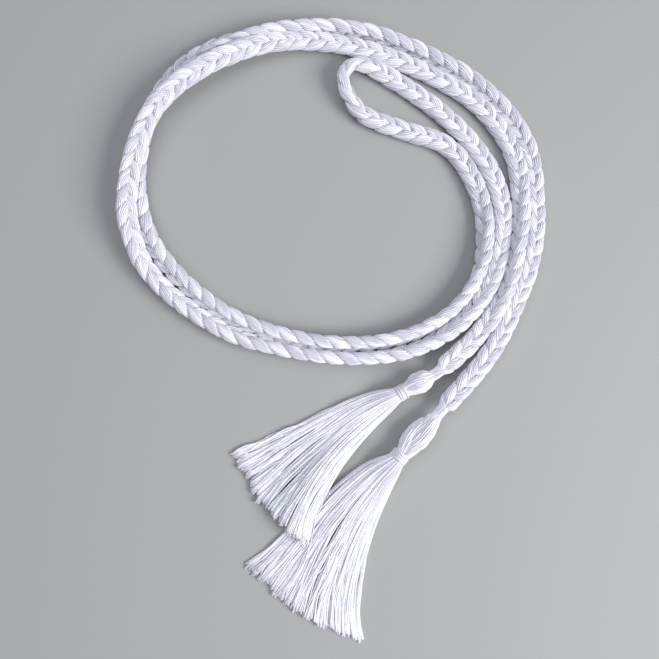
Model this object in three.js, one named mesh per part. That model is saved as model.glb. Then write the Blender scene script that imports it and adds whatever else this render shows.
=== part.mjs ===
// A white plaited cord belt with a thread tassel on each end, laid down folded in half and
// wound into a loose double ring. Millimetres, +Z up, the surface that it lies on at Z = 0.
// Three strands are plaited flat. Each end of the plait is tied off in a narrow neck, below it a
// knot sits in the tassel's head, a wrap of thread closes the head, and the skirt fans out in locks.
import * as THREE from "three";

// Plait: its period holds three lobes on each side
const PLAIT_PERIOD = 27;
const STRAND_COUNT = 3;
const STRAND_RADIUS = 1.2;
const STRAND_SIDES = 5;
const PLAIT_SWING = 3.3; // a strand's reach to either side of the route
const PLAIT_WEAVE = 2.1; // and above or below it
const NECK_SWING = 2.6; // the plait narrows to this over its last stretch
const NECK_TAPER = 14;
const STEPS_PER_PERIOD = 6; // a step falls on each crossing and on each outermost point
const PLAIT_ON_EDGE = 1.5; // how much higher the plait's middle lies when it stands on its edge
const LYING = 3.45; // height of the plait's middle where it lies flat

// Tassels: A lies nearer the ring, B beyond it
const TIE_RADIUS = 3.1;
const TIE_LENGTH = 5.2;
const CLEARANCE = 0.35;
const SHELL_WALL = 1.5;
const LATHE_SEGMENTS = 12;
const LOCK_COUNT = 7;
const LOCK_STATIONS = 9;
const LOCK_GAP = 0.34;
const FLARE_SHARE = 0.12; // of a skirt's length, in which its threads lose their first flare

// A skirt's threads leave the wrap flared, turn by bend (degrees at first, and more by its end)
// and fan out (degrees at first, more by its end, and the power that this grows with)
const TASSELS = {
  a: {
    neck: [52.5, -29.5, 5.9],
    headAngle: 208,
    // head's outline, as distance along its axis and radius
    head: [[3.6, 2.5], [6, 4.3], [9.5, 5.6], [13, 5.6], [16.5, 4.4], [18.8, 3.5]],
    wrapLength: 5.4,
    wrapRadius: 4.3,
    skirt: {
      length: 89, mouth: 3.4, bend: [-1.5, 26], flare: 21, fan: [7.8, 26.5, 2.6], thick: 5.4, edge: 0.45,
    },
  },
  b: {
    neck: [53.5, -49.5, 6.5],
    headAngle: 226.3,
    head: [[3.6, 2.6], [8, 4.3], [14, 5.6], [20, 6.3], [25, 5.9], [29.2, 4.1]],
    wrapLength: 5,
    wrapRadius: 4.9,
    skirt: {
      length: 91.5, mouth: 4, bend: [-3, 28], flare: 21.5, fan: [11.7, 25, 3.2], thick: 5.4, edge: 0.45,
    },
  },
};
// Skirt A's last locks lie on skirt B
const CROSSING = { lift: 5.2, from: 0.2, full: 0.62, side: -0.25 };

// Route of the plait's middle, from neck A to neck B: [x, y, height, roll in degrees]. Every leg
// rolls nearly onto its edge somewhere. The plait turns over at the fold, crosses under its own
// first leg on the left, stands on its other edge along the top and ends with its back up.
const ROUTE = [
  [52.5, -29.5, 5.9, 0],
  [76.6, -7.6, LYING, 0],
  [91.5, 16.3, LYING, -65],
  [98.6, 42, LYING, -70],
  [100.6, 62, LYING, -40],
  [97.8, 90, LYING, 0],
  [79, 117.5, LYING, 0],
  [42, 139, LYING, 0],
  [4, 150.3, LYING, 0],
  [-33, 149, 6.2, -10],
  [-68.3, 133.3, 9.9, -25],
  [-94.2, 110.4, 10.4, -20],
  [-106.3, 78.5, 10.2, -15],
  [-107.9, 50, 8.6, -25],
  [-97.2, 23, 4.4, -45],
  [-60.1, -6.4, LYING, -58],
  [-25, -17.6, LYING, -74],
  [10, -21.6, LYING, -78],
  [40, -17.4, LYING, -72],
  [64.5, -3.8, LYING, -55],
  [82.3, 18.4, LYING, -28],
  [89.6, 41.6, LYING, 0],
  [90.4, 62, LYING, 0],
  [82.5, 84.5, LYING, 0],
  [60.5, 110.5, LYING, 0],
  [28.5, 133, LYING, 0],
  [17, 138.2, LYING, 32],
  [9, 138.1, LYING, 60],
  [4.2, 131.4, LYING, 90],
  [6.5, 122, LYING, 120],
  [14.5, 111, LYING, 150],
  [35, 103, LYING, 180],
  [61.5, 93.5, LYING, 180],
  [76.5, 71, LYING, 190],
  [80.2, 47, LYING, 232],
  [75.4, 22.5, LYING, 270],
  [59.7, 2.2, LYING, 280],
  [35, -10.5, LYING, 285],
  [5, -14.3, LYING, 285],
  [-30, -9.2, LYING, 290],
  [-63, 5, LYING, 300],
  [-94.6, 36, LYING, 315],
  [-105.2, 70, LYING, 345],
  [-99.3, 107, LYING, 350],
  [-78, 137.6, LYING, 335],
  [-40, 154.8, LYING, 285],
  [8, 158.3, LYING, 270],
  [48.5, 145.8, LYING, 265],
  [82.8, 124.6, LYING, 240],
  [104.6, 95.5, LYING, 200],
  [109.1, 60, LYING, 180],
  [105.6, 32, LYING, 180],
  [91.8, -1.5, LYING, 180],
  [80.5, -20.5, LYING, 180],
  [53.5, -49.5, 6.5, 180],
];

// Brings the middle of the whole belt's footprint to the origin
const PLACE = [-0.43, 1.26, 0];

const UP = new THREE.Vector3(0, 0, 1);
const thread = (color, roughness) => new THREE.MeshStandardMaterial({ color, roughness, metalness: 0 });
const STRAND_THREAD = thread(0xf2f2f5, 0.5);
const TASSEL_THREAD = thread(0xf4f4f7, 0.55);
const BINDING_THREAD = thread(0xe8e8ee, 0.6);

function named(name, geometry, material) {
  const mesh = new THREE.Mesh(geometry, material);
  mesh.name = name;
  return mesh;
}

// The plait's middle line, with its length and its roll at any distance along it
const routeLine = new THREE.CatmullRomCurve3(
  ROUTE.map(([x, y, z]) => new THREE.Vector3(x, y, z)),
  false,
  "centripetal",
);
routeLine.arcLengthDivisions = 4000;
const routeLength = routeLine.getLength();

function rollAt(share) {
  const place = routeLine.getUtoTmapping(share) * (ROUTE.length - 1);
  const index = Math.min(Math.floor(place), ROUTE.length - 2);
  const degrees = THREE.MathUtils.lerp(ROUTE[index][3], ROUTE[index + 1][3], place - index);
  return THREE.MathUtils.degToRad(degrees);
}

// One strand's own path, swinging from side to side of the route and weaving over and under
class StrandPath extends THREE.Curve {
  constructor(index, start, steps) {
    super();
    this.phase = Math.PI / 6 + (index * 2 * Math.PI) / STRAND_COUNT;
    this.turn = (2 * Math.PI * steps) / STEPS_PER_PERIOD;
    this.start = start;
    this.span = routeLength - 2 * start;
  }

  // Steps follow the plait's period, not the strand's own length
  getUtoTmapping(share) {
    return share;
  }

  getPoint(share, target = new THREE.Vector3()) {
    const angle = this.phase + share * this.turn;
    const routeShare = (this.start + share * this.span) / routeLength;
    const fromEnd = Math.min(share, 1 - share) * this.span;
    const gathered = THREE.MathUtils.smoothstep(fromEnd, 0, NECK_TAPER);
    const swing = THREE.MathUtils.lerp(NECK_SWING, PLAIT_SWING, gathered);
    const forward = routeLine.getTangentAt(routeShare);
    const side = new THREE.Vector3().crossVectors(UP, forward).normalize();
    const over = new THREE.Vector3().crossVectors(forward, side);
    const roll = rollAt(routeShare);
    side.applyAxisAngle(forward, roll);
    over.applyAxisAngle(forward, roll);
    return target
      .copy(routeLine.getPointAt(routeShare))
      .addScaledVector(UP, PLAIT_ON_EDGE * Math.abs(Math.sin(roll)))
      .addScaledVector(side, swing * Math.sin(angle))
      .addScaledVector(over, PLAIT_WEAVE * Math.sin(2 * angle));
  }
}

function strand(index) {
  const start = TIE_LENGTH / 2 + STRAND_RADIUS + CLEARANCE;
  const steps = Math.round(((routeLength - 2 * start) / PLAIT_PERIOD) * STEPS_PER_PERIOD);
  const section = new THREE.Shape();
  for (let corner = 0; corner < STRAND_SIDES; corner++) {
    const angle = (2 * Math.PI * corner) / STRAND_SIDES;
    const point = [STRAND_RADIUS * Math.cos(angle), STRAND_RADIUS * Math.sin(angle)];
    if (corner === 0) section.moveTo(...point);
    else section.lineTo(...point);
  }
  const extrudePath = new StrandPath(index, start, steps);
  return new THREE.ExtrudeGeometry(section, { steps, extrudePath });
}

// A solid of revolution about +X, from [distance, radius] points
function turned(outline) {
  const points = outline.map(([along, radius]) => new THREE.Vector2(radius, along));
  return new THREE.LatheGeometry(points, LATHE_SEGMENTS).rotateZ(-Math.PI / 2);
}

function tie() {
  const half = TIE_LENGTH / 2;
  const flat = TIE_RADIUS * 0.6;
  return turned([[-half, 0], [-half, flat], [0, TIE_RADIUS], [half, flat], [half, 0]]);
}

// The folded threads over the knot: a shell that is open at both ends and runs on through the wrap
function headShell({ head, wrapLength }) {
  const neckRadius = head.at(-1)[1];
  const end = head.at(-1)[0] + wrapLength;
  const outside = [...head, [end, neckRadius]];
  const inside = outside.map(([along, radius]) => [along, Math.max(radius - SHELL_WALL, 0.8)]);
  return turned([...outside, ...inside.reverse(), outside[0]]);
}

function endKnot({ head }) {
  const widest = head.reduce((a, b) => (b[1] > a[1] ? b : a));
  const radius = widest[1] - SHELL_WALL - 2 * CLEARANCE;
  return new THREE.SphereGeometry(radius, 10, 8).translate(widest[0], 0, 0);
}

function neckWrap({ head, wrapLength, wrapRadius }) {
  const start = head.at(-1)[0] + CLEARANCE;
  const end = head.at(-1)[0] + wrapLength;
  const inner = head.at(-1)[1] + CLEARANCE;
  const round = (wrapRadius - inner) / 2;
  return turned([
    [start, inner], [start, wrapRadius - round], [start + round, wrapRadius],
    [end - round, wrapRadius], [end, wrapRadius - round], [end, inner], [start, inner],
  ]);
}

// The path of one skirt thread, from the wrap's middle: its points and its headings there. Across
// the skirt, place runs from -1 at its first edge to 1 at its last.
function skirtThread({ length, mouth, bend, flare, fan }, place, share) {
  const point = new THREE.Vector2(0, place * mouth);
  const steps = Math.ceil(share * 60);
  let heading = THREE.MathUtils.degToRad(bend[0] + place * (flare + fan[0]));
  for (let step = 0; step < steps; step++) {
    const along = (share * (step + 0.5)) / steps;
    const spread = flare * Math.exp(-along / FLARE_SHARE) + fan[0] + fan[1] * along ** fan[2];
    heading = THREE.MathUtils.degToRad(bend[0] + bend[1] * along + place * spread);
    const stride = (share * length) / steps;
    point.x += stride * Math.cos(heading);
    point.y += stride * Math.sin(heading);
  }
  return { point, heading };
}

// One lock of skirt threads: a bar bent to its place in the fan
function skirtLock(tassel, index, crossing) {
  const { skirt, head, wrapLength, neck } = tassel;
  const start = head.at(-1)[0] + wrapLength + CLEARANCE;
  const floor = -neck[2];
  const bar = new THREE.BoxGeometry(1, 1, 1, LOCK_STATIONS, 2, 1);
  const corner = bar.attributes.position;
  for (let i = 0; i < corner.count; i++) {
    const share = corner.getX(i) + 0.5;
    const across = corner.getY(i);
    const place = (2 * (index + across + 0.5)) / LOCK_COUNT - 1;
    const { point, heading } = skirtThread(skirt, place, share);
    const inset = Math.sign(across) * LOCK_GAP * 0.5;
    const crown = Math.sqrt(1 - (1 - skirt.edge ** 2) * place ** 2);
    const round = 1 - 0.12 * (2 * across) ** 2;
    const height = THREE.MathUtils.lerp(2 * skirt.mouth, skirt.thick, Math.min(share * 2.2, 1) ** 0.6);
    const drop = Math.max(1 - share * LOCK_STATIONS, 0);
    let bottom = THREE.MathUtils.lerp(floor, -skirt.mouth * crown, drop);
    if (crossing) {
      const along = THREE.MathUtils.smoothstep(share, crossing.from, crossing.full);
      bottom += crossing.lift * along * THREE.MathUtils.smoothstep(place, crossing.side, 0.6);
    }
    const top = bottom + height * crown * round * (1 - 0.45 * share);
    corner.setXYZ(
      i,
      start + point.x + inset * Math.sin(heading),
      point.y - inset * Math.cos(heading),
      corner.getZ(i) > 0 ? top : bottom,
    );
  }
  return bar;
}

const belt = new THREE.Group();
belt.position.set(...PLACE);
for (let index = 0; index < STRAND_COUNT; index++) {
  belt.add(named(`strand_${index + 1}`, strand(index), STRAND_THREAD));
}
for (const [letter, tassel] of Object.entries(TASSELS)) {
  const group = new THREE.Group();
  group.position.set(...tassel.neck);
  group.rotation.z = THREE.MathUtils.degToRad(tassel.headAngle);
  group.add(named(`end_tie_${letter}`, tie(), BINDING_THREAD));
  group.add(named(`tassel_head_${letter}`, headShell(tassel), TASSEL_THREAD));
  group.add(named(`end_knot_${letter}`, endKnot(tassel), STRAND_THREAD));
  group.add(named(`neck_wrap_${letter}`, neckWrap(tassel), BINDING_THREAD));
  const crossing = letter === "a" ? CROSSING : null;
  for (let index = 0; index < LOCK_COUNT; index++) {
    group.add(named(`skirt_${letter}_${index + 1}`, skirtLock(tassel, index, crossing), TASSEL_THREAD));
  }
  belt.add(group);
}

export default belt;
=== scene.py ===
"""Looks of a white plaited cord belt with a thread tassel on each end. Metres, +Z up.

Every piece is satin thread: three plaited strands of yarns, the gathered neck at each end of the
plait, and in each tassel a head, the wrap that closes it and a skirt of cut threads. Each stands
for the plain CAD solid at its place. A thread's surface carries thread coordinates (distance
along it and turns around it), which drive its plied twist and its fibres.
"""
import math

import bpy
import numpy as np
from mathutils import Euler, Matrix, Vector


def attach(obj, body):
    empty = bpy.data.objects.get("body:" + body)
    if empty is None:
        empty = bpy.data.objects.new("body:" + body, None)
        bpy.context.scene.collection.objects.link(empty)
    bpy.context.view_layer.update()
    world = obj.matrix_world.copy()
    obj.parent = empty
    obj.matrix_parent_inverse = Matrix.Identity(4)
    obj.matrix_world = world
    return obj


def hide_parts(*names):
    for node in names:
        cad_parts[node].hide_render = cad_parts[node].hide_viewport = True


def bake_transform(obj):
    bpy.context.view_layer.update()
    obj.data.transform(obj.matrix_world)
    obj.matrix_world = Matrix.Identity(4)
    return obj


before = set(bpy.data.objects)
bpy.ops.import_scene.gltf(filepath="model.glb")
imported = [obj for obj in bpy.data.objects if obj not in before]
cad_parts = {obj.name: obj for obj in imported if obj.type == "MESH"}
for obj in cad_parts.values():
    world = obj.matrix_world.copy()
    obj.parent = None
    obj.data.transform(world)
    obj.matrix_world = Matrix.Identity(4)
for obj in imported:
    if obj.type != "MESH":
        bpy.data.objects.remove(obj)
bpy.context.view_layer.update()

# WAVES are (size, wavelength) of the sine waves in a smooth random curve. Each curve has its
# own wavelengths, stretched or shortened by a factor from WAVE_STRETCH.
WAVE_STRETCH = (0.8, 1.25)

# Yarn: a plied satin thread
YARN_PITCH = 0.0013  # one turn of its plies
# In a bundle of yarns each yarn is a ridge
RIDGE_CORNERS = 5  # points across a ridge
RIDGE_POWER = 0.6  # of the sine that a ridge's section follows
RIDGE_DEPTH = 0.00054  # from a ridge's crest to the groove beside it
RIDGE_ROUGHNESS = 0.00010  # how far a yarn rises and sinks in its bundle
RIDGE_WAVES = [(1, 0.021), (0.7, 0.0083)]  # sizes as shares of that
RIDGE_TONES = (0.2, 1.0)  # the darkest and the lightest yarn
GROOVE_SHADE = 0.7  # painted shade: how much darker a groove is painted than a crest

# Plait, as packed: a period holds three lobes on each side
PLAIT_PERIOD = 0.027
STRAND_COUNT = 3
STEPS_PER_PERIOD = 6
PLAIT_START = 0.00415  # from a neck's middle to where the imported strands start
# and as it looks, with its strands at full thickness
PLAIT_SWING = 0.0033  # of a strand to each side of the plait's middle
PLAIT_WEAVE = 0.00135  # of a strand over and under it
PLAIT_LIFT = 0.0004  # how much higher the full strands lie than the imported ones
PLAIT_ON_EDGE = 0.0023  # how much higher the plait's middle lies when it stands on its edge
STRAND_LONG = 0.0030  # a strand's section is an oval, pressed flat by its neighbours
STRAND_SHORT = 0.0020
STRAND_LEAN = (-90, 130, 14)  # degrees: steady, and swinging once and three times in a period
STRAND_YARNS = 14
STRAND_RINGS = 20  # in a period
STRAND_END = 0.0006  # from a neck's middle to where the strands end, inside the gathered neck
FULLNESS_WAVES = [(0.035, 0.034), (0.03, 0.012)]
TWIST_WAVES = [(0.35, 0.19), (0.2, 0.07)]
CORD_POINTS = 800  # of a line along the plait's middle, which is computed but not used
# The plait gathers into its neck over this length, to these shares of its own measures
NECK_GATHER = 0.007
NECK_SWING = 0.28
NECK_WEAVE = 0.4
NECK_FULLNESS = 0.7

# Route of the plait's middle from neck A to neck B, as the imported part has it:
# x, y, height, roll in degrees. PLACE brings the belt's middle to the origin.
LYING = 0.00345
PLACE = (-0.00043, 0.00126, 0)
ROUTE = [
    (0.0525, -0.0295, 0.0059, 0),
    (0.0766, -0.0076, LYING, 0),
    (0.0915, 0.0163, LYING, -65),
    (0.0986, 0.042, LYING, -70),
    (0.1006, 0.062, LYING, -40),
    (0.0978, 0.09, LYING, 0),
    (0.079, 0.1175, LYING, 0),
    (0.042, 0.139, LYING, 0),
    (0.004, 0.1503, LYING, 0),
    (-0.033, 0.149, 0.0062, -10),
    (-0.0683, 0.1333, 0.0099, -25),
    (-0.0942, 0.1104, 0.0104, -20),
    (-0.1063, 0.0785, 0.0102, -15),
    (-0.1079, 0.05, 0.0086, -25),
    (-0.0972, 0.023, 0.0044, -45),
    (-0.0601, -0.0064, LYING, -58),
    (-0.025, -0.0176, LYING, -74),
    (0.01, -0.0216, LYING, -78),
    (0.04, -0.0174, LYING, -72),
    (0.0645, -0.0038, LYING, -55),
    (0.0823, 0.0184, LYING, -28),
    (0.0896, 0.0416, LYING, 0),
    (0.0904, 0.062, LYING, 0),
    (0.0825, 0.0845, LYING, 0),
    (0.0605, 0.1105, LYING, 0),
    (0.0285, 0.133, LYING, 0),
    (0.017, 0.1382, LYING, 32),
    (0.009, 0.1381, LYING, 60),
    (0.0042, 0.1314, LYING, 90),
    (0.0065, 0.122, LYING, 120),
    (0.0145, 0.111, LYING, 150),
    (0.035, 0.103, LYING, 180),
    (0.0615, 0.0935, LYING, 180),
    (0.0765, 0.071, LYING, 190),
    (0.0802, 0.047, LYING, 232),
    (0.0754, 0.0225, LYING, 270),
    (0.0597, 0.0022, LYING, 280),
    (0.035, -0.0105, LYING, 285),
    (0.005, -0.0143, LYING, 285),
    (-0.03, -0.0092, LYING, 290),
    (-0.063, 0.005, LYING, 300),
    (-0.0946, 0.036, LYING, 315),
    (-0.1052, 0.07, LYING, 345),
    (-0.0993, 0.107, LYING, 350),
    (-0.078, 0.1376, LYING, 335),
    (-0.04, 0.1548, LYING, 285),
    (0.008, 0.1583, LYING, 270),
    (0.0485, 0.1458, LYING, 265),
    (0.0828, 0.1246, LYING, 240),
    (0.1046, 0.0955, LYING, 200),
    (0.1091, 0.06, LYING, 180),
    (0.1056, 0.032, LYING, 180),
    (0.0918, -0.0015, LYING, 180),
    (0.0805, -0.0205, LYING, 180),
    (0.0535, -0.0495, 0.0065, 180),
]

# Tassels, each in its own frame: its neck's middle at the origin and its head along +X, which
# is at angle, in degrees, to the belt's. A head's outline is distance along its axis and
# radius. A skirt is mouth to each side at the wrap and thick, with edge as the share of that at
# its edges. Its threads leave the wrap flared, turn by bend (degrees at first, and more by its
# end) and fan out (degrees at first, more by its end, and the power that this grows with).
TASSELS = {
    "a": {
        "neck": (0.0525, -0.0295, 0.0059),
        "angle": 208,
        "head": [(0.0036, 0.0025), (0.006, 0.0043), (0.0095, 0.0056), (0.013, 0.0056),
                 (0.0165, 0.0044), (0.0188, 0.0035)],
        "wrap_length": 0.0054,
        "wrap_radius": 0.0043,
        "wrap_turns": 10,
        "skirt": {"length": 0.089, "mouth": 0.0034, "bend": (-1.5, 26), "flare": 21,
                  "fan": (7.8, 26.5, 2.6), "thick": 0.0054, "edge": 0.45},
    },
    "b": {
        "neck": (0.0535, -0.0495, 0.0065),
        "angle": 226.3,
        "head": [(0.0036, 0.0026), (0.008, 0.0043), (0.014, 0.0056), (0.020, 0.0063),
                 (0.025, 0.0059), (0.0292, 0.0041)],
        "wrap_length": 0.005,
        "wrap_radius": 0.0049,
        "wrap_turns": 9,
        "skirt": {"length": 0.0915, "mouth": 0.004, "bend": (-3, 28), "flare": 21.5,
                  "fan": (11.7, 25, 3.2), "thick": 0.0054, "edge": 0.45},
    },
}
CLEARANCE = 0.00035  # between a wrap and its skirt, as packed

# Gathered necks: knots of their middle line before and after the neck's middle, and half
# sizes as (distance from that middle, half size)
NECK_BEFORE = (0.0075, 0.0055, 0.0035, 0.0015)
NECK_AFTER = (0.0015, 0.0035, 0.0055, 0.007)
NECK_SIDE = [(-0.0075, 0.0012), (-0.005, 0.0029), (-0.003, 0.0032), (0, 0.0030),
             (0.003, 0.0029), (0.0045, 0.0030), (0.007, 0.0022)]
NECK_OVER = [(-0.0075, 0.0009), (-0.005, 0.0018), (-0.003, 0.0022), (0, 0.0023),
             (0.0045, 0.0023), (0.007, 0.0018)]
NECK_RINGS = 34
NECK_SMOOTHING = 6  # rounds
NECK_YARNS = 18
NECK_TWIST = 0.5
NECK_BEND = 0.004  # a length on each side of a neck's middle; points there are computed but not used

# Heads: their threads lie in deeper and rougher ridges than the plait's
HEAD_DEPTH = 0.0008
HEAD_ROUGHNESS = 0.0003
HEAD_RINGS = 46
HEAD_START = 0.0024  # from the neck's middle
HEAD_TUCK = 0.0012  # a head's threads end this far before the skirt, inside the wrap

# Wraps
WRAP_MARGIN = 0.0003  # from the head's end to the first turn
WRAP_CROWDING = 1.02  # its thread is as thick as a turn's room without margins, times this
WRAP_TUCK = 0.0006  # how far its two ends go in under the turns beside them
WRAP_TUCK_SHARE = 0.04  # of its length, at each end
WRAP_WAVES = [(0.00009, 0.31), (0.00006, 0.12)]  # wavelengths as shares of its length
WRAP_STATIONS = 20  # in a turn
WRAP_SIDES = 8
WRAP_TONE = 0.62

# Skirts. Shares are of a skirt's length.
FLARE_SHARE = 0.12  # in which its threads lose their first flare
SETTLE_RATE = 2.2  # how soon the round skirt at the wrap settles to its flat thickness
SETTLE_POWER = 0.6
SKIRT_THINNING = 0.45  # of its thickness, lost by its end
DROP_SHARE = 0.17  # in which its lowest threads come down to the floor
LINE_POINTS = 120  # in the line that a thread follows, which is drawn up to LINE_SHARE
LINE_SHARE = 1.1
# Skirt A's last locks lie on skirt B: lift is how high, from and full are shares along the
# skirt, and side and far are places across it, between which the threads rise
CROSSING = {"lift": 0.0052, "from": 0.2, "full": 0.62, "side": -0.25, "far": 0.6}
SKIRT_BEND = 0.008  # a length from a skirt's mouth; points there are computed but not used

# Locks of a skirt, in which the threads run in clumps
LOCK_COUNT = 7
LOCK_THREADS = 96
LOCK_CLUMPS = 4
LOCK_SQUEEZE = 0.04  # share of its width that a lock loses towards its end
SQUEEZE_RANGE = (0.4, 1)  # and between which shares along it
THREAD_START = -0.05  # share at which the threads start, inside the wrap
THREAD_STATIONS = 26
THREAD_SIDES = 5
CLUMP_SHIFT = 0.05  # of a clump's middle, as a share of the lock's width
CLUMP_CLOSING = 0.22  # how far the tightest clump closes up at its cut end
CLOSING_RANGE = (0.3, 1)
CLUMP_CUT = (-0.02, 0.012)  # how much shorter and longer than the skirt its clumps are cut
THREAD_CUT = 0.009  # how much the threads' lengths differ in a clump
CLUMP_WAVES = [(0.0009, 0.12), (0.0004, 0.05)]
THREAD_WAVES = [(0.0006, 0.07), (0.00016, 0.021)]
SWAY_RANGE = (0.05, 0.9)  # the shares between which those waves grow
LAYER_WAVES = [(0.10, 0.06), (0.05, 0.025)]  # sizes as shares of the skirt's thickness
LAYER_RANGE = (0.05, 0.5)
STRAY_FROM = 0.93  # of draws from 0 to 1, those above this are stray threads
STRAY_WAVES = 2.5  # how much more a stray thread waves than the others do
SKIRT_THREAD = 0.00034  # radius of a skirt's threads
THREAD_RADII = (0.85, 1.1)  # the thinnest and the thickest, as shares of that
THREAD_TONES = (0.35, 0.9)  # the darkest and the lightest
BOLD_FROM = 0.87  # draws above this are bold threads, plied ones that haven't opened up
BOLD_RADIUS = 1.35  # as a share of what a thread's radius would be
OPEN_RADIUS = 0.95
BOLD_TONE = 1.15
FRAY = 0.6  # share by which a thread is wider at its cut end
FRAY_FROM = 0.972  # where it starts to widen

# Where each piece's random draws start
SEEDS = {"fullness": 40, "twist": 50, "strand": 60, "neck": 80, "head_a": 111,
         "head_b_over": 121, "head_b_under": 131, "wrap": 140, "skirt": 200}

# Camera: above the belt, tilted a few degrees
CAMERA_PLACE = (-0.02943, -0.03874, 0.3586)
CAMERA_TURN = (5.41, -3.98, -0.42)  # degrees
CAMERA_LENS = 37.15  # millimetres, as is the sensor's width
CAMERA_SENSOR = 36
CAMERA_NEAR = 0.01

FLOOR_HALF = 3.0
FLOOR_COLOUR = (0.375, 0.378, 0.373, 1)
FLOOR_ROUGHNESS = 0.8
ROOM_COLOUR = (0.80, 0.84, 0.95, 1)
ROOM_LIGHT = 0.34

# Threads: colour, colour towards which their darker yarns and the painted shade of their grooves
# go, roughness, and height of their plies.
# The tassels' threads have opened up, so their plies don't show.
THREADS = {
    "strand_thread": ((0.90, 0.905, 0.95), (0.50, 0.51, 0.62), 0.30, 5e-5),
    "tassel_thread": ((0.85, 0.855, 0.92), (0.70, 0.705, 0.80), 0.42, 0),
    "binding_thread": ((0.88, 0.88, 0.93), (0.60, 0.61, 0.71), 0.42, 4e-5),
}
FIBRE_STRETCH = (0.35, 5)  # of the fibres' noise along a thread and around it
FIBRE_SCALE = 1.6
FIBRE_DETAIL = 3
PLY_HEIGHT = 0.6  # shares of the bump's height
FIBRE_HEIGHT = 0.5
BUMP_STRENGTH = 0.6
PAINTED_HEIGHT_LIGHT = 0.35  # painted light: how much lighter a thread's high places, on its plies and fibres, are painted
ROUGHNESS_SPREAD = 0.18  # between the fibres
SHEEN = 0.25
SHEEN_ROUGHNESS = 0.4

UP = np.array([0.0, 0.0, 1.0])


def smoothstep(value, low, high):
    share = np.clip((value - low) / (high - low), 0, 1)
    return share * share * (3 - 2 * share)


def unit(vectors):
    return vectors / np.linalg.norm(vectors, axis=-1, keepdims=True)


def wander(seed, rows, places, waves):
    """Smooth random curves, one for each row: places is where they are read, and waves lists
    (size, wavelength) of the sine waves in them."""
    draw = np.random.default_rng(seed)
    total = np.zeros((rows, len(places)))
    for size, wavelength in waves:
        phase = draw.uniform(0, 2 * np.pi, (rows, 1))
        stretch = draw.uniform(*WAVE_STRETCH, (rows, 1))
        total += size * np.sin(2 * np.pi * places[None, :] * stretch / wavelength + phase)
    return total


# ---------------------------------------------------------------- camera, floor and light


def make_camera():
    data = bpy.data.cameras.new("camera")
    data.lens = CAMERA_LENS
    data.sensor_width = CAMERA_SENSOR
    data.clip_start = CAMERA_NEAR
    camera = bpy.data.objects.new("camera", data)
    camera.location = CAMERA_PLACE
    camera.rotation_euler = Euler([math.radians(turn) for turn in CAMERA_TURN])
    bpy.context.scene.collection.objects.link(camera)
    bpy.context.scene.camera = camera


def make_floor():
    mesh = bpy.data.meshes.new("floor")
    square = ((-1, -1), (1, -1), (1, 1), (-1, 1))
    corners = [(x * FLOOR_HALF, y * FLOOR_HALF, 0) for x, y in square]
    mesh.from_pydata(corners, [], [(0, 1, 2, 3)])
    floor = bpy.data.objects.new("floor", mesh)
    bpy.context.scene.collection.objects.link(floor)
    material = bpy.data.materials.new("floor")
    material.use_nodes = True
    surface = material.node_tree.nodes["Principled BSDF"]
    surface.inputs["Base Color"].default_value = FLOOR_COLOUR
    surface.inputs["Roughness"].default_value = FLOOR_ROUGHNESS
    mesh.materials.append(material)


def area_light(name, place, size, power, colour):
    data = bpy.data.lights.new(name, "AREA")
    data.size = size
    data.energy = power
    data.color = colour
    light = bpy.data.objects.new(name, data)
    light.location = place
    light.rotation_euler = (-Vector(place)).to_track_quat("-Z", "Y").to_euler()
    bpy.context.scene.collection.objects.link(light)


def make_lights():
    """Daylight from a window on the right, and a cool, weak light from everywhere else."""
    area_light("window", place=(0.95, -0.42, 0.80), size=0.7, power=18,
               colour=(1.0, 0.99, 0.975))
    area_light("ceiling", place=(-0.4, 0.3, 1.3), size=1.2, power=7.5, colour=(0.94, 0.95, 1.0))
    world = bpy.data.worlds.new("room")
    world.use_nodes = True
    background = world.node_tree.nodes["Background"]
    background.inputs["Color"].default_value = ROOM_COLOUR
    background.inputs["Strength"].default_value = ROOM_LIGHT
    bpy.context.scene.world = world
    bpy.context.scene.view_settings.view_transform = "Standard"


# ---------------------------------------------------------------- materials


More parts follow.
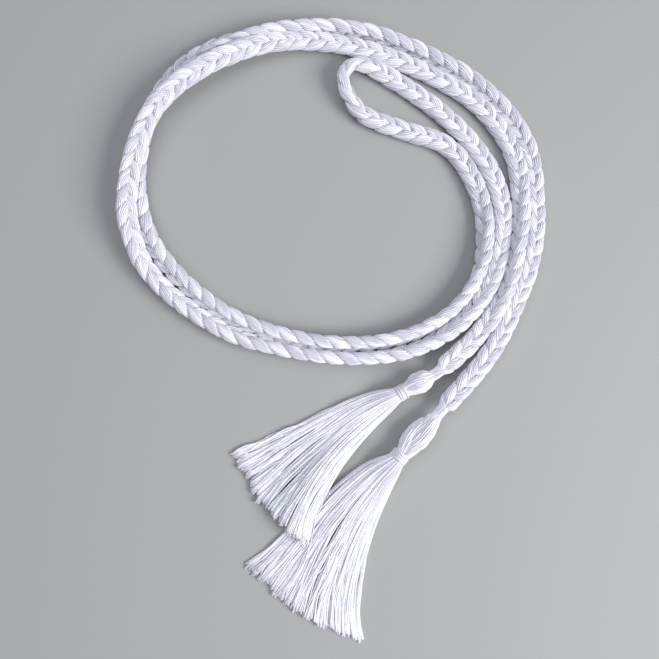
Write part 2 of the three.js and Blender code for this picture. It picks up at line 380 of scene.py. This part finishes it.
def thread_material(name, colour, shade, roughness, ply_depth):
    """Satin thread. Thread coordinates U (turns of its twist along it) and V (turns around it)
    give its plies and fibres; the attribute tone holds how light it is at each point, which is
    its yarns' own tone with painted shade in the grooves between yarns. Its high places are
    painted lighter, as painted light."""
    material = bpy.data.materials.new(name)
    material.use_nodes = True
    nodes, links = material.node_tree.nodes, material.node_tree.links
    surface = nodes["Principled BSDF"]

    def maths(operation, first, second):
        node = nodes.new("ShaderNodeMath")
        node.operation = operation
        for socket, value in zip(node.inputs, (first, second)):
            if isinstance(value, (int, float)):
                socket.default_value = value
            else:
                links.new(value, socket)
        return node.outputs[0]

    place = nodes.new("ShaderNodeUVMap")
    place.uv_map = "thread"
    split = nodes.new("ShaderNodeSeparateXYZ")
    links.new(place.outputs["UV"], split.inputs[0])
    along, around = split.outputs["X"], split.outputs["Y"]

    turn = maths("MULTIPLY", maths("ADD", along, around), 2 * math.pi)
    ply = maths("MULTIPLY_ADD", maths("SINE", turn, 0), 0.5)
    ply.node.inputs[2].default_value = 0.5

    fibre_place = nodes.new("ShaderNodeCombineXYZ")
    stretch_along, stretch_around = FIBRE_STRETCH
    links.new(maths("MULTIPLY", along, stretch_along), fibre_place.inputs["X"])
    turned = maths("MULTIPLY", maths("ADD", along, around), stretch_around)
    links.new(turned, fibre_place.inputs["Y"])
    fibre = nodes.new("ShaderNodeTexNoise")
    fibre.inputs["Scale"].default_value = FIBRE_SCALE
    fibre.inputs["Detail"].default_value = FIBRE_DETAIL
    links.new(fibre_place.outputs[0], fibre.inputs["Vector"])

    height = maths("ADD", maths("MULTIPLY", ply, PLY_HEIGHT),
                   maths("MULTIPLY", fibre.outputs[0], FIBRE_HEIGHT))
    bump = nodes.new("ShaderNodeBump")
    bump.inputs["Strength"].default_value = BUMP_STRENGTH
    bump.inputs["Distance"].default_value = ply_depth
    links.new(height, bump.inputs["Height"])
    links.new(bump.outputs[0], surface.inputs["Normal"])

    tone = nodes.new("ShaderNodeAttribute")
    tone.attribute_name = "tone"
    # Painted light: the high places of the plies and fibres are painted lighter, on top of the
    # tone with its painted groove shade
    lightness = maths("ADD", tone.outputs["Fac"], maths("MULTIPLY", height, PAINTED_HEIGHT_LIGHT))
    mix = nodes.new("ShaderNodeMix")
    mix.data_type = "RGBA"
    mix.inputs["A"].default_value = (*shade, 1)
    mix.inputs["B"].default_value = (*colour, 1)
    links.new(lightness, mix.inputs["Factor"])
    links.new(mix.outputs["Result"], surface.inputs["Base Color"])

    rough = maths("MULTIPLY_ADD", fibre.outputs[0], ROUGHNESS_SPREAD)
    rough.node.inputs[2].default_value = roughness - ROUGHNESS_SPREAD / 2
    links.new(rough, surface.inputs["Roughness"])
    surface.inputs["Sheen Weight"].default_value = SHEEN
    surface.inputs["Sheen Roughness"].default_value = SHEEN_ROUGHNESS
    return material


# ---------------------------------------------------------------- thread meshes


def add_threads(name, grid, along, around, tone, material):
    """A mesh of closed tubes from grid, (tubes, rings, corners, 3). along is (tubes, rings) and
    around (corners + 1), the thread coordinates; tone is (tubes, rings, corners)."""
    tubes, rings, corners, _ = grid.shape
    number = np.arange(tubes * rings * corners).reshape(tubes, rings, corners)
    beside = np.roll(number, -1, axis=2)
    quads = np.stack([number[:, :-1], beside[:, :-1], beside[:, 1:], number[:, 1:]], -1)
    starts, ends = number[:, 0, ::-1], number[:, -1]
    mesh = bpy.data.meshes.new(name)
    faces = [*quads.reshape(-1, 4).tolist(), *starts.tolist(), *ends.tolist()]
    mesh.from_pydata(grid.reshape(-1, 3), [], faces)

    shape = (tubes, rings - 1, corners)
    u_near, u_far = (np.broadcast_to(u[:, :, None], shape) for u in (along[:, :-1], along[:, 1:]))
    v_near, v_far = (np.broadcast_to(v[None, None, :], shape) for v in (around[:-1], around[1:]))
    sides = np.stack([u_near, v_near, u_near, v_far, u_far, v_far, u_far, v_near], -1)
    start_caps = np.stack([np.broadcast_to(along[:, :1], (tubes, corners)),
                           np.broadcast_to(around[-2::-1], (tubes, corners))], -1)
    end_caps = np.stack([np.broadcast_to(along[:, -1:], (tubes, corners)),
                         np.broadcast_to(around[:-1], (tubes, corners))], -1)
    layer = mesh.uv_layers.new(name="thread")
    layer.data.foreach_set("uv", np.concatenate(
        [sides.ravel(), start_caps.ravel(), end_caps.ravel()]).astype(np.float32))
    attribute = mesh.attributes.new("tone", "FLOAT", "POINT")
    attribute.data.foreach_set("value", np.asarray(tone, np.float32).ravel())
    mesh.shade_smooth()
    mesh.materials.append(material)
    piece = bpy.data.objects.new(name, mesh)
    bpy.context.scene.collection.objects.link(piece)
    return piece


def travelled(paths):
    """Distance along each path, from its first point."""
    steps = np.linalg.norm(np.diff(paths, axis=-2), axis=-1)
    return np.concatenate([np.zeros((*steps.shape[:-1], 1)), np.cumsum(steps, axis=-1)], axis=-1)


def section_frame(paths, reference):
    """Two unit vectors across each path, the first level with reference's plane."""
    forward = unit(np.gradient(paths, axis=-2))
    side = unit(np.cross(np.broadcast_to(reference, forward.shape), forward))
    return side, np.cross(forward, side)


def single_threads(name, paths, radii, reference, tone, material, sides):
    """Separate threads along paths, (threads, stations, 3), with radii (threads, stations) and
    one tone for each."""
    side, over = section_frame(paths, reference)
    turn = 2 * np.pi * np.arange(sides) / sides
    across = side[:, :, None] * np.cos(turn)[:, None] + over[:, :, None] * np.sin(turn)[:, None]
    grid = paths[:, :, None] + across * radii[:, :, None, None]
    around = 2 * np.arange(sides + 1) / sides
    tones = np.broadcast_to(tone[:, None, None], grid.shape[:3])
    return add_threads(name, grid, travelled(paths) / YARN_PITCH, around, tones, material)


def bundle(name, path, side, over, long, short, lean, yarns, twist, seed, material,
           depth=RIDGE_DEPTH, rough=RIDGE_ROUGHNESS):
    """A bundle of yarns as one closed surface with a ridge for each yarn. Its section is an oval:
    long and short are its half lengths at each ring, lean is the angle of the long one from side
    towards over, and twist is how far the yarns have turned. Sizes and angles are in metres
    and radians."""
    corners = yarns * RIDGE_CORNERS
    corner = np.arange(corners)
    distance = travelled(path)
    turn = 2 * np.pi * corner[None, :] / corners + twist[:, None]
    crest = np.sin(np.pi * (corner % RIDGE_CORNERS) / RIDGE_CORNERS) ** RIDGE_POWER
    waves = [(rough * size, wavelength) for size, wavelength in RIDGE_WAVES]
    level = wander(seed, yarns, distance, waves).T
    level = np.repeat(level, RIDGE_CORNERS, axis=1) * crest
    from_long = turn - lean[:, None]
    long, short = long[:, None], short[:, None]
    oval = long * short / np.hypot(short * np.cos(from_long), long * np.sin(from_long))
    radius = oval - depth * (1 - crest) + level
    grid = (path[:, None] + side[:, None] * (radius * np.cos(turn))[..., None]
            + over[:, None] * (radius * np.sin(turn))[..., None])
    draw = np.random.default_rng(seed + 1)
    yarn_tone = np.repeat(draw.uniform(*RIDGE_TONES, yarns), RIDGE_CORNERS)
    # Painted shade: each groove between yarns is painted darker than the crests beside it
    tone = np.broadcast_to(yarn_tone - GROOVE_SHADE * (1 - crest), grid.shape[:2])[None]
    around = np.arange(corners + 1) / RIDGE_CORNERS
    return add_threads(name, grid[None], distance[None] / YARN_PITCH, around, tone, material)


# ---------------------------------------------------------------- the plait


class Route:
    """The plait's middle line: a centripetal Catmull-Rom curve, read by distance along it."""

    STEPS = 60  # between two of its points

    def __init__(self, rows):
        points = np.array([row[:3] for row in rows]) + np.array(PLACE)
        padded = np.concatenate([[2 * points[0] - points[1]], points,
                                 [2 * points[-1] - points[-2]]])
        pieces = [self.between(padded[i:i + 4]) for i in range(len(points) - 1)]
        self.line = np.concatenate([*pieces, points[-1:]])
        self.distance = travelled(self.line)
        self.length = self.distance[-1]
        self.forward = unit(np.gradient(self.line, axis=0))
        place = np.linspace(0, len(points) - 1, len(self.line))
        self.roll = np.radians(np.interp(place, np.arange(len(points)), [row[3] for row in rows]))

    def between(self, four):
        """The curve from the second of four points to just before the third."""
        p0, p1, p2, p3 = four
        t0, t1, t2 = (np.linalg.norm(b - a) ** 0.5 for a, b in zip(four, four[1:]))
        start = ((p1 - p0) / t0 - (p2 - p0) / (t0 + t1) + (p2 - p1) / t1) * t1
        end = ((p2 - p1) / t1 - (p3 - p1) / (t1 + t2) + (p3 - p2) / t2) * t1
        t = np.arange(self.STEPS)[:, None] / self.STEPS
        square, cube = t * t, t * t * t
        return (p1 + start * t + (3 * (p2 - p1) - 2 * start - end) * square
                + (2 * (p1 - p2) + start + end) * cube)

    def at(self, distance):
        """Place, side and over of the plait at these distances; over is its front's direction."""
        def read(values):
            return np.stack([np.interp(distance, self.distance, column) for column in values.T], 1)

        forward = unit(read(self.forward))
        roll = np.interp(distance, self.distance, self.roll)
        level = unit(np.cross(UP, forward))
        upright = np.cross(forward, level)
        cos, sin = np.cos(roll)[:, None], np.sin(roll)[:, None]
        place = read(self.line) + UP * (PLAIT_LIFT + PLAIT_ON_EDGE * np.abs(sin))
        return place, level * cos + upright * sin, upright * cos - level * sin


def make_plait(material):
    """The three strands, which swing from side to side and weave over and under each other."""
    route = Route(ROUTE)
    steps = round((route.length - 2 * PLAIT_START) / PLAIT_PERIOD * STEPS_PER_PERIOD)
    periods = steps / STEPS_PER_PERIOD
    rings = round(periods * STRAND_RINGS)
    distance = np.linspace(STRAND_END, route.length - STRAND_END, rings)
    place, side, over = route.at(distance)
    from_end = np.minimum(distance, route.length - distance)
    gather = smoothstep(from_end, 0, NECK_GATHER)
    share = (distance - PLAIT_START) / (route.length - 2 * PLAIT_START)
    swing = PLAIT_SWING * (NECK_SWING + (1 - NECK_SWING) * gather)
    weave = PLAIT_WEAVE * (NECK_WEAVE + (1 - NECK_WEAVE) * gather)
    for index in range(STRAND_COUNT):
        angle = np.pi / 6 + (index / STRAND_COUNT + share * periods) * 2 * np.pi
        path = (place + side * (swing * np.sin(angle))[:, None]
                + over * (weave * np.sin(2 * angle))[:, None])
        forward = unit(np.gradient(path, axis=0))
        across = unit(np.cross(over, forward))
        out = np.cross(forward, across)
        # Its neighbours press it flat from above and below where it crosses them, and from
        # the side where it turns back
        steady, once, thrice = STRAND_LEAN
        lean = np.radians(steady + once * np.cos(angle) + thrice * np.cos(3 * angle))
        fullness = 1 + wander(SEEDS["fullness"] + index, 1, distance, FULLNESS_WAVES)[0]
        fullness = fullness * (NECK_FULLNESS + (1 - NECK_FULLNESS) * gather)
        long = (STRAND_SHORT + (STRAND_LONG - STRAND_SHORT) * gather) * fullness
        short = STRAND_SHORT * fullness
        twist = wander(SEEDS["twist"] + index, 1, distance, TWIST_WAVES)[0]
        strand = bundle(f"plaited_strand_{index + 1}", path, across, out, long, short, lean,
                        STRAND_YARNS, twist, SEEDS["strand"] + 2 * index, material)
        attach(strand, "plait")
        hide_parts(f"strand_{index + 1}")
    line = route.at(np.linspace(0, route.length, CORD_POINTS))[0]
    return route


# ---------------------------------------------------------------- tassels


class Tassel:
    """One tassel's own frame and the distances along its axis."""

    def __init__(self, letter):
        self.letter = letter
        self.size = TASSELS[letter]
        self.outline = self.size["head"]
        self.skirt = self.size["skirt"]
        self.neck = np.array(self.size["neck"]) + np.array(PLACE)
        angle = math.radians(self.size["angle"])
        self.axes = np.array([[math.cos(angle), math.sin(angle), 0],
                              [-math.sin(angle), math.cos(angle), 0],
                              [0, 0, 1]])
        self.head_end = self.outline[-1][0]
        self.mouth = self.head_end + self.size["wrap_length"] + CLEARANCE
        self.floor = -self.neck[2]

    def place(self, points):
        """Points of its own frame, in the belt's frame."""
        return np.asarray(points) @ self.axes + self.neck


def make_neck(tassel, route, material):
    """The plait's yarns, gathered side by side between its last lobes and the head."""
    from_end = np.array(NECK_BEFORE)
    distance = {"a": from_end, "b": route.length - from_end}[tassel.letter]
    before = route.at(distance)[0]
    after = tassel.place([(x, 0, 0) for x in NECK_AFTER])
    knots = np.concatenate([before, after])
    at = travelled(knots)
    fine = np.linspace(0, at[-1], NECK_RINGS)
    path = np.stack([np.interp(fine, at, column) for column in knots.T], 1)
    for _ in range(NECK_SMOOTHING):
        path[1:-1] = (path[:-2] + 2 * path[1:-1] + path[2:]) / 4
    side, over = section_frame(path, UP)
    middle = fine - np.linalg.norm(before - tassel.neck, axis=1)[0]
    half_side = np.interp(middle, *zip(*NECK_SIDE))
    half_over = np.interp(middle, *zip(*NECK_OVER))
    twist = NECK_TWIST * fine / fine[-1]
    neck = bundle(f"gathered_neck_{tassel.letter}", path, side, over, half_side, half_over,
                  0 * fine, NECK_YARNS, twist, SEEDS["neck"] + ord(tassel.letter), material)
    blend = tassel.place([(-NECK_BEND, 0, 0), (NECK_BEND, 0, 0)])
    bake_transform(neck)
    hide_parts(f"end_tie_{tassel.letter}")


def lobe(tassel, name, stations, yarns, twist, seed, material):
    """One bulging bundle of a head, from stations of (x, y, z, half side, half over)."""
    rows = np.array(stations)
    fine = np.linspace(rows[0, 0], rows[-1, 0], HEAD_RINGS)
    columns = [np.interp(fine, rows[:, 0], column) for column in rows[:, 1:].T]
    y, z, half_side, half_over = (np.convolve(np.pad(c, 3, mode="edge"), np.ones(7) / 7, "valid")
                                  for c in columns)
    path = tassel.place(np.stack([fine, y, z], 1))
    side, over = section_frame(path, UP)
    turned = twist * (fine - fine[0]) / (fine[-1] - fine[0])
    piece = bundle(name, path, side, over, half_side, half_over, 0 * fine, yarns, turned, seed,
                   material, depth=HEAD_DEPTH, rough=HEAD_ROUGHNESS)
    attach(piece, f"head_{tassel.letter}")
    return piece


def make_head_a(tassel, material):
    """A plain egg of threads, folded down over the knot."""
    closed = tassel.outline[-1][1] - 0.0003
    stations = [(HEAD_START, 0, 0, 0.0016, 0.0016)]
    stations += [(x, 0, 0, radius, radius * 0.98) for x, radius in tassel.outline]
    stations += [(tassel.mouth - HEAD_TUCK, 0, 0, closed, closed)]
    piece = lobe(tassel, "tassel_head_threads_a", stations, yarns=28, twist=0.8,
                 seed=SEEDS["head_a"], material=material)
    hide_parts("tassel_head_a")


def make_head_b(tassel, material):
    """Two bulging bundles, the first of which crosses over the second."""
    closed = tassel.outline[-1][1] - 0.0008
    end = tassel.mouth - HEAD_TUCK
    over = [
        (HEAD_START, 0.0, 0.0, 0.0024, 0.0022), (0.0055, 0.0, 0.0004, 0.0040, 0.0036),
        (0.011, 0.0009, 0.0009, 0.0049, 0.0042), (0.018, 0.0020, 0.0011, 0.0043, 0.0042),
        (0.024, 0.0018, 0.0008, 0.0039, 0.0038), (0.0292, 0.0009, 0.0, 0.0030, 0.0032),
        (end, 0.0004, 0.0, closed, closed),
    ]
    under = [
        (0.005, 0.0004, -0.0006, 0.0014, 0.0016), (0.010, -0.0016, -0.0007, 0.0036, 0.0036),
        (0.016, -0.0025, -0.0006, 0.0042, 0.0044), (0.022, -0.0024, -0.0004, 0.0040, 0.0043),
        (0.027, -0.0014, -0.0002, 0.0032, 0.0036), (0.0292, -0.0009, 0.0, 0.0029, 0.0032),
        (end, -0.0004, 0.0, closed, closed),
    ]
    first = lobe(tassel, "tassel_head_bundle_b_1", over, yarns=22, twist=0.9,
                 seed=SEEDS["head_b_over"], material=material)
    lobe(tassel, "tassel_head_bundle_b_2", under, yarns=22, twist=-0.5,
         seed=SEEDS["head_b_under"], material=material)
    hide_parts("tassel_head_b")


def make_wrap(tassel, material):
    """One long thread wound round the head's lower end."""
    turns = tassel.size["wrap_turns"]
    length = tassel.size["wrap_length"]
    radius = (length - 2 * WRAP_MARGIN) / turns / 2 * WRAP_CROWDING
    share = np.linspace(0, 1, turns * WRAP_STATIONS)
    spin = 2 * np.pi * turns * share
    waver = wander(SEEDS["wrap"] + ord(tassel.letter), 2, share, WRAP_WAVES)
    x = tassel.head_end + WRAP_MARGIN + radius + share * (length - 2 * radius)
    reach = tassel.size["wrap_radius"] - radius + waver[0]
    from_end = np.minimum(share, 1 - share)
    reach = reach - WRAP_TUCK * (1 - smoothstep(from_end, 0, WRAP_TUCK_SHARE))
    local = np.stack([x + waver[1], reach * np.cos(spin), reach * np.sin(spin)], 1)
    paths = tassel.place(local)[None]
    radii = np.full(paths.shape[:2], radius)
    piece = single_threads(f"neck_wrap_thread_{tassel.letter}", paths, radii, tassel.axes[0],
                           np.array([WRAP_TONE]), material, WRAP_SIDES)
    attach(piece, f"head_{tassel.letter}")
    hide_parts(f"neck_wrap_{tassel.letter}")


def skirt_place(tassel, across, layer, share):
    """Where a skirt thread runs, in the tassel's own frame. across is -1 to 1 from the skirt's
    first edge to its last, layer 0 to 1 from its lowest thread to its highest, and share 0 to 1
    along it, below 0 inside the wrap."""
    skirt = tassel.skirt
    out = np.maximum(share, 0)
    fine = np.linspace(0, LINE_SHARE, LINE_POINTS)
    fan, gain, power = skirt["fan"]
    bend = np.radians(skirt["bend"][0] + skirt["bend"][1] * fine)
    splay = np.radians(skirt["flare"] * np.exp(-fine / FLARE_SHARE) + fan + gain * fine ** power)
    heading = bend + across.mean(axis=-1, keepdims=True) * splay
    step = fine[1] * skirt["length"]
    run = np.cumsum(np.cos(heading), axis=-1) * step
    drift = np.cumsum(np.sin(heading), axis=-1) * step
    run, drift = (np.stack([np.interp(o, fine + fine[1], line) for o, line in zip(out, lines)])
                  for lines in (run, drift))
    x = tassel.mouth + run + np.minimum(share, 0) * skirt["length"]
    y = across * skirt["mouth"] + drift
    crown = np.sqrt(np.maximum(1 - (1 - skirt["edge"] ** 2) * across ** 2, skirt["edge"] ** 2))
    settled = np.minimum(out * SETTLE_RATE, 1) ** SETTLE_POWER
    height = (2 * skirt["mouth"] + (skirt["thick"] - 2 * skirt["mouth"]) * settled) * crown
    height = height * (1 - SKIRT_THINNING * out)
    drop = smoothstep(out, 0, DROP_SHARE)
    bottom = tassel.floor * drop - skirt["mouth"] * crown * (1 - drop)
    if tassel.letter == "a":
        along = smoothstep(out, CROSSING["from"], CROSSING["full"])
        beside = smoothstep(across, CROSSING["side"], CROSSING["far"])
        bottom = bottom + CROSSING["lift"] * along * beside
    z = bottom + SKIRT_THREAD + layer * (height - 2 * SKIRT_THREAD)
    return x, y, z


def make_skirt_lock(tassel, index, material):
    """Threads that hang together: they run in clumps, which part towards the cut ends."""
    seed = SEEDS["skirt"] + 20 * ord(tassel.letter) + index
    draw = np.random.default_rng(seed)
    length = tassel.skirt["length"]
    share = np.linspace(THREAD_START, 1, THREAD_STATIONS)
    clump = draw.integers(0, LOCK_CLUMPS, LOCK_THREADS)
    shift = draw.uniform(-CLUMP_SHIFT, CLUMP_SHIFT, LOCK_CLUMPS)
    middle = (np.arange(LOCK_CLUMPS) + 0.5) / LOCK_CLUMPS + shift
    start = (clump + draw.uniform(0, 1, LOCK_THREADS)) / LOCK_CLUMPS
    layer = draw.uniform(0, 1, LOCK_THREADS)
    clump_cut = draw.uniform(*CLUMP_CUT, LOCK_CLUMPS)
    cut = 1 + clump_cut[clump] + draw.normal(0, THREAD_CUT, LOCK_THREADS)
    ragged = share[None, :] * np.where(share > 0, cut[:, None], 1)
    out = np.maximum(ragged, 0)

    closing = draw.uniform(0.0, CLUMP_CLOSING, LOCK_CLUMPS)[clump][:, None]
    closing = closing * smoothstep(out, *CLOSING_RANGE)
    within = start[:, None] + (middle[clump][:, None] - start[:, None]) * closing
    squeeze = 1 - LOCK_SQUEEZE * smoothstep(out, *SQUEEZE_RANGE)
    across = 2 * (index + 0.5 + (within - 0.5) * squeeze) / LOCK_COUNT - 1
    clump_waves = wander(seed + 1, LOCK_CLUMPS, share * length, CLUMP_WAVES)
    waves = wander(seed + 2, LOCK_THREADS, share * length, THREAD_WAVES)
    waves *= 1 + STRAY_WAVES * (draw.uniform(0, 1, (LOCK_THREADS, 1)) > STRAY_FROM)
    sway = (clump_waves[clump] + waves) * smoothstep(out, *SWAY_RANGE)
    lift = wander(seed + 3, LOCK_THREADS, share * length, LAYER_WAVES)
    layers = np.clip(layer[:, None] + lift * smoothstep(out, *LAYER_RANGE), 0, 1)
    x, y, z = skirt_place(tassel, across, layers, ragged)
    paths = tassel.place(np.stack([x, y + sway, z], -1))
    frayed = 1 + FRAY * smoothstep(share, FRAY_FROM, 1)
    bold = draw.uniform(0, 1, LOCK_THREADS) > BOLD_FROM
    radii = SKIRT_THREAD * draw.uniform(*THREAD_RADII, (LOCK_THREADS, 1)) * frayed
    radii = radii * np.where(bold, BOLD_RADIUS, OPEN_RADIUS)[:, None]
    tone = np.where(bold, BOLD_TONE, draw.uniform(*THREAD_TONES, LOCK_THREADS))
    name = f"skirt_threads_{tassel.letter}_{index + 1}"
    piece = single_threads(name, paths, radii, UP, tone, material, THREAD_SIDES)
    blend = tassel.place([(tassel.mouth, 0, 0), (tassel.mouth + SKIRT_BEND, 0, 0)])
    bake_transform(piece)
    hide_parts(f"skirt_{tassel.letter}_{index + 1}")


def make_tassel(letter, route, threads):
    tassel = Tassel(letter)
    make_neck(tassel, route, threads["strand_thread"])
    make_head = {"a": make_head_a, "b": make_head_b}[letter]
    make_head(tassel, threads["tassel_thread"])
    make_wrap(tassel, threads["binding_thread"])
    for index in range(LOCK_COUNT):
        make_skirt_lock(tassel, index, threads["tassel_thread"])
    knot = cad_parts[f"end_knot_{letter}"]  # stays as packed, hidden in the head
    knot.data.materials.clear()
    knot.data.materials.append(threads["strand_thread"])


make_camera()
make_floor()
make_lights()
thread_materials = {name: thread_material(name, *look) for name, look in THREADS.items()}
plait_route = make_plait(thread_materials["strand_thread"])
for tassel_letter in TASSELS:
    make_tassel(tassel_letter, plait_route, thread_materials)
